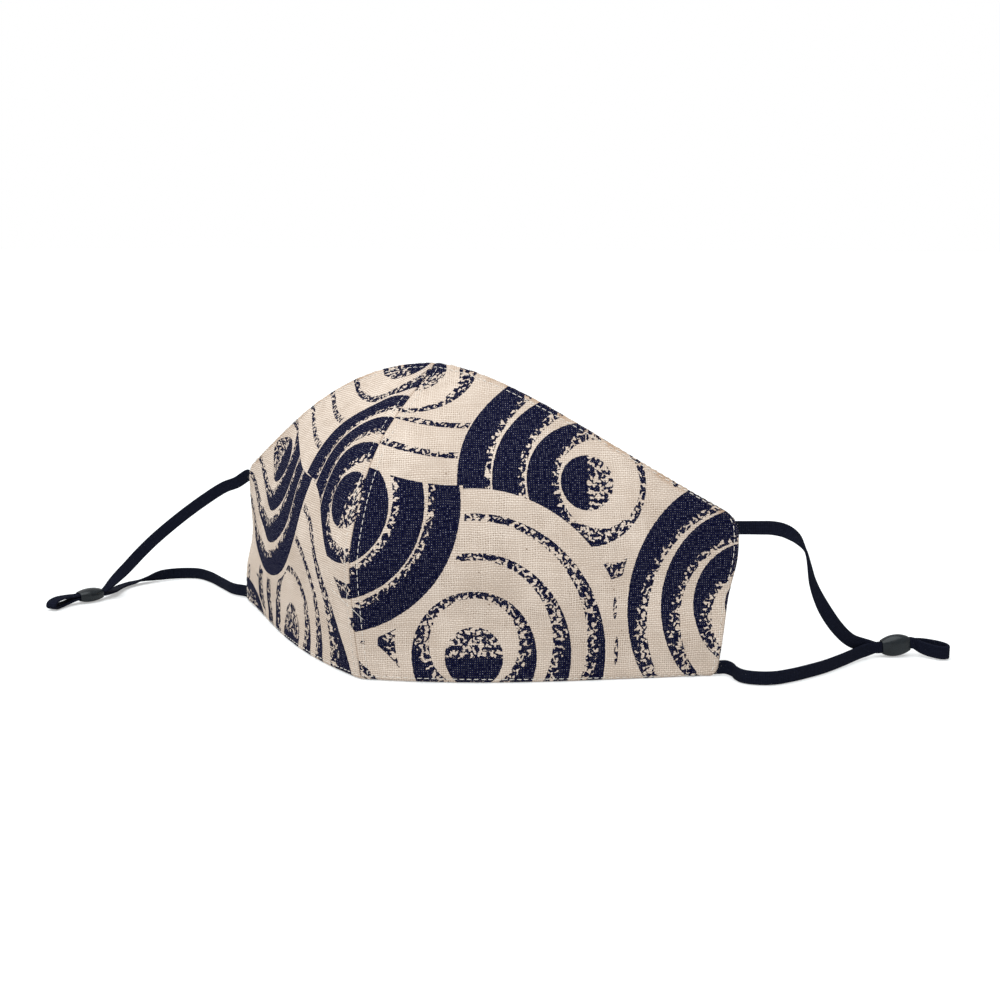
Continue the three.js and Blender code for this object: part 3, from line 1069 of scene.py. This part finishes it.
def makeStrayThread(name, panelFaces, material):
    rows = np.array([onCloth(panelFaces, *place) for place in strayThread["places"]])
    line, _ = strandLine(np.hstack([rows, np.tile([0.0, 0.0, 1.0], (len(rows), 1))]), 8)
    return joinTubes(name, [tube(line, strayThread["radius"], 6)], material)


def placed(points, side):
    # from the right panel's own place to the frame
    return (points - (0, maskShape["middleBack"], 0)) * (side, 1, 1)


def makePanel(name, side, grid, flat, outside, inside, threadMaterial):
    sign = 1 if side == "right" else -1
    chance = random.Random(seeds[side]["stitches"])
    stitches = []
    for edge in ("seam", "rim", "side", "top"):
        stitches.extend(stitchPlaces(stitchLine(grid, edge, stitching["insets"][side]), chance))
    outer, inner, toSeam, toRim = panelRelief(grid, flat, stitches, side)
    toTop = nearest(grid["points"], grid["points"][-1])
    inward = grid["inward"]
    outerPoints = grid["points"] - inward * outer[..., None]
    innerPoints = grid["points"] + inward * (maskShape["wall"] + inner)[..., None]
    outward = unit(grid["points"][-1] - grid["points"][-4])
    waver = waveNoise(grid["points"], cloth["edgeWaverLength"], seeds[side]["edge"])
    waver *= cloth["edgeWaver"] * np.exp(-toTop / 1.4)
    for facePoints in (outerPoints, innerPoints):
        facePoints += outward[None] * waver[..., None]
    rows, columns = outer.shape
    count = rows * columns
    points = placed(np.vstack([outerPoints.reshape(-1, 3), innerPoints.reshape(-1, 3)]), sign)
    index = np.arange(count).reshape(rows, columns)
    quads = gridFaces(index)
    strips = np.vstack([np.stack([line[:-1], line[1:], line[1:] + count, line[:-1] + count], axis=-1)
                        for line in (index[0, ::-1], index[:, 0], index[-1], index[::-1, -1])])
    faces = np.vstack([quads, quads[:, ::-1] + count, strips])
    if sign < 0:
        faces = faces[:, ::-1]
    uv = flat.reshape(-1, 2) * (sign, 1)
    kinds = np.concatenate([np.zeros(len(quads)), np.ones(len(quads)), np.zeros(len(strips))])
    maps = {"cloth": uv, "edges": np.stack([toSeam, toRim], axis=-1).reshape(-1, 2),
            "top": np.stack([toTop, toRim], axis=-1).reshape(-1, 2)}
    maps = {key: np.vstack([value, value]) for key, value in maps.items()}
    panel = makeObject(name, points, faces, [outside, inside], maps, kinds)
    threads = []
    for face, facePoints, outward in (("outside", outerPoints, 1), ("inside", innerPoints, -1)):
        # a rough copy of the face, for setting the stitches on it
        facePoints = placed(facePoints.reshape(-1, 3), sign)
        tree = BVHTree.FromPolygons(facePoints.tolist(), quads[:, ::sign].tolist())
        tubes = stitchTubes([placed(stitch, sign) for stitch in stitches], tree, outward)
        threads.append(joinTubes(f"stitching_{side}_{face}", tubes, threadMaterial))
    threads.append(makeFuzz(f"fuzz_{side}", grid, sign, seeds[side]["fuzz"], threadMaterial))
    outerNormals = grid["normals"].reshape(-1, 3) * (sign, 1, 1)
    return panel, threads, (placed(outerPoints.reshape(-1, 3), sign), outerNormals, uv)


# Cloth finishes. Their coordinates are millimetres on the unrolled cloth, so one unit is one millimetre.

weave = {
    "pitch": 0.8,  # between threads
    "waver": 0.13,
    "slub": 0.62,  # how much threads differ in tone
    "slubStretch": (1.16, 0.05),  # noise scales across and along a thread
    "hollows": (0.62, 0.3),  # openness between the threads where a hollow fades in
    "bump": 0.7,
}

inkPattern = {
    "first": 9.9,  # radius where the rings begin
    "disc": 9.8,  # radius of the solid disc
    "reach": 46.8,  # and of the outermost ring, where a medallion gives none
    "period": 12.25,  # from ring to ring
    "middleWidth": 7.0,  # ring width at the sides of a medallion
    "swing": 4.7,  # more on its heavy side, less on its light side
    "fringe": 2.3,  # crackled inner part of a ring on the heavy side
    "fringeGrowth": 1.7,  # and more away from it
    "fringeBare": 0.28,  # share of bare cloth where the fringe begins
    "discBare": 0.43,  # and in the crackled part of a disc
    "wormScale": 0.68,
    "edgeWaver": 0.3,
}

# Ring medallions on each panel, from the lowest layer of the print up. "place" is the centre on the
# cloth, "heavy" the side where its rings are wide and solid in degrees, "reach" its outermost ring,
# "start" its innermost one, "cover" how far it hides what is printed below it, "shift" the middle of
# that cover, and "under" the layer that lies over it all the same.
printLayout = {
    "right": [
        {"place": (38.5, 138), "heavy": 88, "disc": 0, "start": 40, "reach": 58.9, "cover": 68.6,
         "solid": 0},
        {"place": (22.2, 122), "heavy": 80, "disc": 9.8, "reach": 22.4, "cover": 24.5, "solid": 0.15},
        {"place": (81.2, 70.5), "stretch": (0.965, 1.02), "heavy": 178, "cover": 47.2},
        {"place": (141.5, 25.4), "stretch": (1, 1.05), "heavy": 95, "cover": 49.8},
        {"place": (41, 9), "stretch": (0.995, 1.09), "heavy": -90, "disc": 10.3, "reach": 46.6,
         "cover": 54.4},
        {"place": (-31.4, -27.2), "heavy": -90, "cover": 56},
        {"place": (-9.3, 64.3), "heavy": -32, "reach": 46.6, "cover": 48.9, "shift": (-1, -2), "under": 0},
    ],
    "left": [
        {"place": (-45.8, 123.3), "stretch": (1, 1.02), "heavy": 60, "cover": 56.4},
        {"place": (-7.9, 63.4), "stretch": (1, 1.046), "heavy": 172, "disc": 10.3, "cover": 48},
        {"place": (-60.2, 7.9), "stretch": (1, 1.08), "heavy": -90, "cover": 54.9},
        {"place": (-117.5, -13.5), "heavy": 90, "reach": 22.4, "cover": 23.4, "solid": 0.5},
        {"place": (-94.1, 68.8), "heavy": -20, "disc": 10.3, "cover": 48.6, "under": 0},
    ],
}

# small strokes of the print that stand alone: centre, half width and half height
strokes = {
    "right": [(91.2, 10.5, 0.7, 5.6), (90.4, 26.3, 0.7, 4.1), (2, 14.6, 0.9, 0.7)],
    "left": [(-3.2, 19.6, 0.8, 3.2), (-107.3, 15.8, 1.7, 0.6), (-121.5, 11.8, 2.4, 3.6)],
}

# The left panel faces away from the view and its print is drawn closer together near the bend over the
# nose. "across" gives print places for cloth places behind "start", and "lean" moves the print by the
# powers of the place given first, where x and y run from about -1 to 1 over the panel.
leftDrape = {
    "start": -11,
    "span": 135,
    "across": [
        (0, 0), (12.6, 13), (19.7, 24.8), (24.4, 31.6), (31, 39.9), (38.3, 48.4), (51.5, 63),
        (65, 75.6), (81.5, 89.3), (97.9, 97.9), (117, 108.6), (135, 117.6),
    ],
    "middle": (-65, 60),
    "half": (65, 60),
    "lean": {
        (0, 0): (0.66, -0.35),
        (1, 0): (0.63, -0.98),
        (0, 1): (0.55, 0.16),
        (0, 2): (6.25, 4.23),
        (0, 3): (-1.36, -1.44),
        (1, 1): (-13.96, -5.55),
        (1, 2): (-16.2, -3.2),
        (2, 1): (18.5, 9.21),
    },
}


def makeWeaveGroup():
    # plain weave: height of the threads, a tone for each thread with painted shade between the weft rows,
    # and the pinholes between them
    group, given, put = newGroup(
        "plainWeave",
        [("Cloth", "Vector", None), ("Pitch", "Float", weave["pitch"])],
        ["Height", "Tone And Row Shade", "Pinhole Shade", "Hollows"],
    )
    place = given["Cloth"]
    slow = addNoise(place, 0.13, 1.0).line(weave["waver"] * 12, -weave["waver"] * 6)
    sway = addNoise(place, 1.1, 1.0).line(weave["waver"], slow)
    x, y, _ = split(addVector("ADD", place, sway))
    step = addMath(group, "DIVIDE", math.pi, given["Pitch"])
    warp, weft = (x * step).sine(), (y * step).sine()
    over = warp * weft
    warpUp, weftUp = abs(warp), abs(weft)
    warpHeight = warpUp * over.line(0.35, 0.65)
    weftHeight = weftUp * over.line(-0.35, 0.65)
    plug(put["Height"], warpHeight.larger(weftHeight))
    openness = warpUp.larger(weftUp)
    patches = addRange(addNoise(place, 0.11, 2.0), 0.38, 0.62, -0.2, 0.42)
    gap = patches + addRange(addNoise(place, 1.3, 1.0), 0.3, 0.7, -0.2, 0.3)
    plug(put["Pinhole Shade"], addSmooth(openness, gap + 0.22, gap))
    plug(put["Hollows"], addSmooth(openness, *weave["hollows"]))
    acrossThread, alongThread = weave["slubStretch"]
    warpSlub = addNoise(addScaled(place, acrossThread, alongThread), 1.0, 2.0, 0.6)
    weftSlub = addNoise(addScaled(place, alongThread, acrossThread, shift=(7, 3, 0)), 1.0, 2.0, 0.6)
    onTop = warpHeight > weftHeight
    slub = (warpSlub - weftSlub) * onTop + weftSlub
    # painted shade between the weft threads shows the weft as rows where the holes are closed
    rows = (1 - weftUp) * addRange(patches, 0.3, -0.1, 0.05, 0.3)
    plug(put["Tone And Row Shade"], onTop.line(0.16, slub + rows))
    return group


def makeCrackleGroup():
    # short pale worms through the ink, as an even field from 0 to 1
    group, given, put = newGroup("inkCrackle", [("Cloth", "Vector", None)], ["Field", "Edge Waver"])
    field = addNoise(given["Cloth"], inkPattern["wormScale"], 1.0, 0.4, 0.7)
    plug(put["Field"], addRange(field, 0.3, 0.7))
    waver = addNoise(given["Cloth"], 0.8, 2.0)
    plug(put["Edge Waver"], waver.line(inkPattern["edgeWaver"] * 2, -inkPattern["edgeWaver"]))
    return group


def makeMedallionGroup():
    # a disc in rings that are wide and solid on one side and thin and crackled on the other
    p = inkPattern
    group, given, put = newGroup(
        "ringMedallion",
        [
            ("Cloth", "Vector", None), ("Field", "Float", 0.5), ("Edge Waver", "Float", 0),
            ("Place", "Vector", None), ("Stretch", "Vector", None), ("Heavy", "Vector", None),
            ("Disc", "Float", p["disc"]), ("Start", "Float", 0), ("Reach", "Float", p["reach"]),
            ("Cover", "Float", 50), ("Cover Shift", "Vector", None), ("Solid", "Float", 1),
        ],
        ["Ink", "Hides"],
    )
    field = given["Field"]
    offset = addVector("DIVIDE", addVector("SUBTRACT", given["Cloth"], given["Place"]), given["Stretch"])
    radius = addVector("LENGTH", offset)
    heavy = addVector("DOT_PRODUCT", addVector("NORMALIZE", offset), given["Heavy"])
    waved = radius + given["Edge Waver"]
    width = heavy.line(p["swing"], p["middleWidth"])
    fringe = (1 - heavy).math("POWER", 2).line(p["fringeGrowth"], p["fringe"])
    solid = (width - fringe).larger(0) * given["Solid"]
    inwards = p["period"] - (waved - p["first"]).math("MODULO", p["period"])
    along = (inwards - solid) / (width - solid)
    # the share of bare cloth grows quickly up to the fringe, slowly through it, and is whole past it
    bare = along.line(0.2, p["fringeBare"]).smaller(along.line(2.2, p["fringeBare"]))
    bare = (along > 1).line(2, bare)
    rings = (waved > given["Start"].larger(p["first"])) * (waved < given["Reach"]) * (field > bare)
    across = heavy * (radius / p["first"])
    discBare = (field.line(0.3, across) < 0.04).line(1 + p["discBare"], -1)
    disc = (waved < given["Disc"]) * (field > discBare)
    plug(put["Ink"], rings.larger(disc))
    fromCover = addVector("LENGTH", addVector("SUBTRACT", offset, given["Cover Shift"]))
    plug(put["Hides"], fromCover < given["Cover"])
    return group


def makeFlecksGroup():
    # seed husks and dirt in natural cloth, and slow changes of its tone
    group, given, put = newGroup("clothFlecks", [("Cloth", "Vector", None)], ["Flecks", "Blotches"])
    cells = group.nodes.new("ShaderNodeTexVoronoi")
    plug(cells.inputs["Vector"], addScaled(given["Cloth"], 0.3, 0.42))
    cells.inputs["Scale"].default_value = 1
    red, green, _ = split(Wire(group, cells.outputs["Color"]), "Color")
    size = green.line(0.1, 0.04)
    fleck = addSmooth(Wire(group, cells.outputs["Distance"]), size, size * 0.5)
    plug(put["Flecks"], fleck * (red > 0.72))
    plug(put["Blotches"], addNoise(given["Cloth"], 0.045, 3.0, 0.6))
    return group


weaveGroup = makeWeaveGroup()
crackleGroup = makeCrackleGroup()
medallionGroup = makeMedallionGroup()
flecksGroup = makeFlecksGroup()

canvasFinish = {
    "cloth": (0.800, 0.685, 0.592, 1),
    # the darker end of the cloth tone, which also carries painted shade on low threads and between weft
    # rows
    "clothDark": (0.480, 0.378, 0.302, 1),
    # painted shade seen in the pinholes of the weave
    "holeShade": (0.20, 0.135, 0.09, 1),
    "holeShadeShare": 0.62,
    "fleck": (0.15, 0.085, 0.05, 1),
    "fleckShare": 0.85,
    # brownish soiling and painted shade where the top edge rolls away
    "hem": (0.40, 0.265, 0.175, 1),  # the rolled edge along the top
    "hemReach": (3.0, 0.7),  # fades in between these distances from the top edge
    "hemShare": 0.75,
    # darker along the other folded edges
    "edgeDarkening": 0.25,
    # painted shade in the seam groove
    "seamShade": 0.22,
    # ink in painted shade between the threads, then ink with a painted highlight on the raised threads
    "ink": (0.0018, 0.0017, 0.0085, 1),
    "inkLitThreadTops": (0.0115, 0.0140, 0.0600, 1),
    "pinDots": (0.36, 0.35, 0.42, 1),  # where ink missed a hollow of the weave
    "roughness": 0.95,
    "specular": 0.03,
    "depth": 0.00022,  # of the weave in metres
}


def clothColour(tree, cloth, woven, f):
    # bare canvas: thread tones, blotches and flecks, with painted shade on the low threads and in the
    # pinholes, and lighter raised threads
    flecks = useGroup(tree, flecksGroup, {"Cloth": cloth})
    tone = addRange(woven["Tone And Row Shade"], 0.3, 0.8, -0.1, 0.8) * weave["slub"]
    tone = tone + addRange(flecks["Blotches"], 0.3, 0.7, -0.15, 0.3)
    # painted shade: the low parts of the weave darker, the raised thread tops lighter
    tone = tone.math("ADD", addRange(woven["Height"], 0.3, 1.0, 0.6, -0.15), clamp=True)
    colour = addMix(tone, f["cloth"], f["clothDark"])
    # painted shade in the pinholes between the threads
    colour = addMix(woven["Pinhole Shade"] * f["holeShadeShare"], colour, f["holeShade"])
    return addMix(flecks["Flecks"] * f["fleckShare"], colour, f["fleck"])


def edgeShadeAndSoil(tree, cloth, colour, f):
    # a brownish rolled hem along the top, brownish soiling with painted shade where the edge rolls away;
    # slightly darker along the other edges; painted shade in the seam groove
    toSeam, toEdge, _ = split(readMap(tree, "edges"))
    toTop, _, _ = split(readMap(tree, "top"))
    uneven = addRange(addNoise(cloth, 0.16, 3.0, 0.6), 0.38, 0.62)
    nearEdge = addSmooth(toEdge, 1.2, 0.2)
    # brownish soiling on the rolled top edge, with painted shade where it rolls away
    share = addSmooth(toTop, *f["hemReach"]) * uneven.line(f["hemShare"], 0.12)
    share = share.larger(nearEdge * (uneven * f["edgeDarkening"]))
    # painted shade in the seam groove
    share = share.larger(addSmooth(toSeam, 0.9, 0.1) * f["seamShade"])
    return addMix(share, colour, f["hem"]), nearEdge


def inkMask(tree, printed, side):
    # the medallions and strokes of one panel, each layer over the one before it
    crackle = useGroup(tree, crackleGroup, {"Cloth": printed})
    ink, hidden = 0.0, []
    for medallion in printLayout[side]:
        heavy = math.radians(medallion["heavy"])
        layer = useGroup(tree, medallionGroup, {
            "Cloth": printed,
            "Field": crackle["Field"],
            "Edge Waver": crackle["Edge Waver"],
            "Place": (*medallion["place"], 0),
            "Stretch": (*medallion.get("stretch", (1, 1)), 1),
            "Heavy": (math.cos(heavy), math.sin(heavy), 0),
            "Disc": medallion.get("disc", inkPattern["disc"]),
            "Start": medallion.get("start", 0),
            "Reach": medallion.get("reach", inkPattern["reach"]),
            "Cover": medallion["cover"],
            "Cover Shift": (*medallion.get("shift", (0, 0)), 0),
            "Solid": medallion.get("solid", 1),
        })
        hides = layer["Hides"]
        if "under" in medallion:
            hides = hides * (1 - hidden[medallion["under"]])
        hidden.append(layer["Hides"])
        ink = layer["Ink"] * hides + (1 - hides) * ink
    for x, y, halfWidth, halfHeight in strokes[side]:
        offset = addVector("DIVIDE", addVector("SUBTRACT", printed, (x, y, 0)), (halfWidth, halfHeight, 1))
        ink = ink.larger((addVector("LENGTH", offset) < 1) * (crackle["Field"] > 0.4))
    return ink


def makePrintedCanvas(name, side):
    f = canvasFinish
    material, tree, shader = startMaterial(name, f["roughness"], f["specular"])
    cloth = readMap(tree, "cloth")
    woven = useGroup(tree, weaveGroup, {"Cloth": cloth})
    printed = drapedPrint(tree, cloth, leftDrape) if side == "left" else cloth
    ink = inkMask(tree, printed, side)
    bare, nearEdge = edgeShadeAndSoil(tree, cloth, clothColour(tree, cloth, woven, f), f)
    # painted highlight on the raised threads of the ink, painted shade between them
    inked = addMix(addRange(woven["Height"], 0.5, 1.0, 0, 0.8), f["ink"], f["inkLitThreadTops"])
    # ink misses some hollows of the weave and is rubbed thin on the folded edges
    missed = woven["Hollows"] * addRange(addNoise(cloth, 0.9, 1.0), 0.4, 0.75)
    inked = addMix(missed, inked, f["pinDots"])
    rubbed = nearEdge * addRange(addNoise(cloth, 1.4, 2.0), 0.56, 0.64, 0, 0.7)
    plug(shader.inputs["Base Color"], addMix(ink * (1 - rubbed), bare, inked))
    addBump(shader, woven["Height"], weave["bump"], f["depth"])
    return material


def drapedPrint(tree, cloth, drape):
    x, y, _ = split(cloth)
    curve = tree.nodes.new("ShaderNodeFloatCurve")
    line = curve.mapping.curves[0]
    knots = [(place / drape["span"], value / drape["span"]) for place, value in drape["across"]]
    line.points[0].location = knots[0]
    line.points[1].location = knots[-1]
    for knot in knots[1:-1]:
        line.points.new(*knot)
    curve.mapping.update()
    behind = drape["start"] - x
    plug(curve.inputs["Value"], behind.larger(0) / drape["span"])
    moved = Wire(tree, curve.outputs[0]).line(drape["span"], behind.smaller(0))
    join = tree.nodes.new("ShaderNodeCombineXYZ")
    plug(join.inputs[0], drape["start"] - moved)
    plug(join.inputs[1], y)
    place = Wire(tree, join.outputs[0])
    centred = addVector("SUBTRACT", place, (*drape["middle"], 0))
    shares = split(addVector("DIVIDE", centred, (*drape["half"], 1)))
    for powers, lean in drape["lean"].items():
        amount = 1.0
        for share, power in zip(shares, powers):
            for _ in range(power):
                amount = share * amount
        moves = addVector("SCALE", (*lean, 0), scale=amount) if any(powers) else (*lean, 0)
        place = addVector("ADD", place, moves)
    return place


def makePlainCanvas(name):
    f = canvasFinish
    material, tree, shader = startMaterial(name, f["roughness"], f["specular"])
    cloth = readMap(tree, "cloth")
    woven = useGroup(tree, weaveGroup, {"Cloth": cloth})
    colour, _ = edgeShadeAndSoil(tree, cloth, clothColour(tree, cloth, woven, f), f)
    plug(shader.inputs["Base Color"], colour)
    addBump(shader, woven["Height"], weave["bump"], f["depth"])
    return material


threadFinish = {
    # light is the ply crowns, dark is painted shade in the grooves between the plies
    "light": (0.83, 0.78, 0.72, 1),
    "dark": (0.58, 0.51, 0.44, 1),
    "twist": 0.42,  # millimetres for one turn of the plies
    "roughness": 0.7,
    "specular": 0.25,
    "bump": 0.5,
    "depth": 0.00008,
}


def makeThread(name):
    f = threadFinish
    material, tree, shader = startMaterial(name, f["roughness"], f["specular"])
    along, around, _ = split(readMap(tree, "cloth"))
    plies = abs(along.line(2 * math.pi / f["twist"], around).sine())
    # painted shade in the grooves between the plies, lighter ply crowns
    plug(shader.inputs["Base Color"], addMix(plies, f["dark"], f["light"]))
    addBump(shader, plies, f["bump"], f["depth"])
    return material


canvasMaterials = {side: makePrintedCanvas(f"printedCanvas_{side}", side) for side in ("right", "left")}
liningMaterial = makePlainCanvas("canvasInside")
threadMaterial = makeThread("sewingThread")

grid = panelGrid()
flat = flatPattern(grid["points"])

panelFaces = {}
for side in ("right", "left"):
    panel, threads, panelFaces[side] = makePanel(
        f"canvas_{side}", side, grid, flat, canvasMaterials[side], liningMaterial, threadMaterial)
    if side == "left":
        threads.append(makeStrayThread("strayThread", panelFaces, threadMaterial))
    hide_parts(f"panel_{side}")
    for piece in (panel, *threads):
        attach(piece, "root")
    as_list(threads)
    print(f"{side} panel: {len(panel.data.polygons)} faces")


# Floor and light

studio = {
    "floorSize": 40,  # metres
    "floorDrop": -0.0002,  # just under the mask, in metres
    "floorColour": (0.66, 0.66, 0.66, 1),
    "floorGlow": 0.36,  # brightens only what the camera sees of the floor
    "backdrop": 1.0,
    "skyLight": 0.62,
    "sunTurn": -8,  # degrees round from the front to the right
    "sunHeight": 64,
    "sunSize": 80,  # wide for soft shadows
    "sunPower": 3.0,
    "sunColour": (0.92, 0.98, 1.0),
}


def addFloor(s):
    bpy.ops.mesh.primitive_plane_add(size=s["floorSize"], location=(0, 0, s["floorDrop"]))
    floor = bpy.context.object
    floor.name = "floor"
    material, tree, shader = startMaterial("paleFloor", 1, 0)
    shader.inputs["Base Color"].default_value = s["floorColour"]
    shader.inputs["Emission Color"].default_value = (1, 1, 1, 1)
    seen = Wire(tree, tree.nodes.new("ShaderNodeLightPath").outputs["Is Camera Ray"])
    plug(shader.inputs["Emission Strength"], seen * s["floorGlow"])
    floor.data.materials.append(material)
    floor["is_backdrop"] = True


def addSky(s):
    # the backdrop looks white while the light from it is softer
    world = bpy.data.worlds.new("softWorld")
    world.use_nodes = True
    tree = world.node_tree
    background = tree.nodes["Background"]
    seen = Wire(tree, tree.nodes.new("ShaderNodeLightPath").outputs["Is Camera Ray"])
    plug(background.inputs["Strength"], seen.line(s["backdrop"] - s["skyLight"], s["skyLight"]))
    background.inputs["Color"].default_value = (1, 1, 1, 1)
    scene.world = world


def addSun(s):
    light = bpy.data.objects.new("softSun", bpy.data.lights.new("softSun", "SUN"))
    light.data.energy = s["sunPower"]
    light.data.angle = math.radians(s["sunSize"])
    light.data.color = s["sunColour"]
    place = aimedFrom(s["sunTurn"], s["sunHeight"])
    light.location = place * 2
    light.rotation_euler = lookingAlong(-place)
    scene.collection.objects.link(light)


addFloor(studio)
addSky(studio)
addSun(studio)
scene.view_settings.view_transform = "Standard"
print("studio ready")

boxes = {"cad": cadBox, "visual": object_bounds()}
{name: [list(corner) for corner in box] for name, box in boxes.items()}
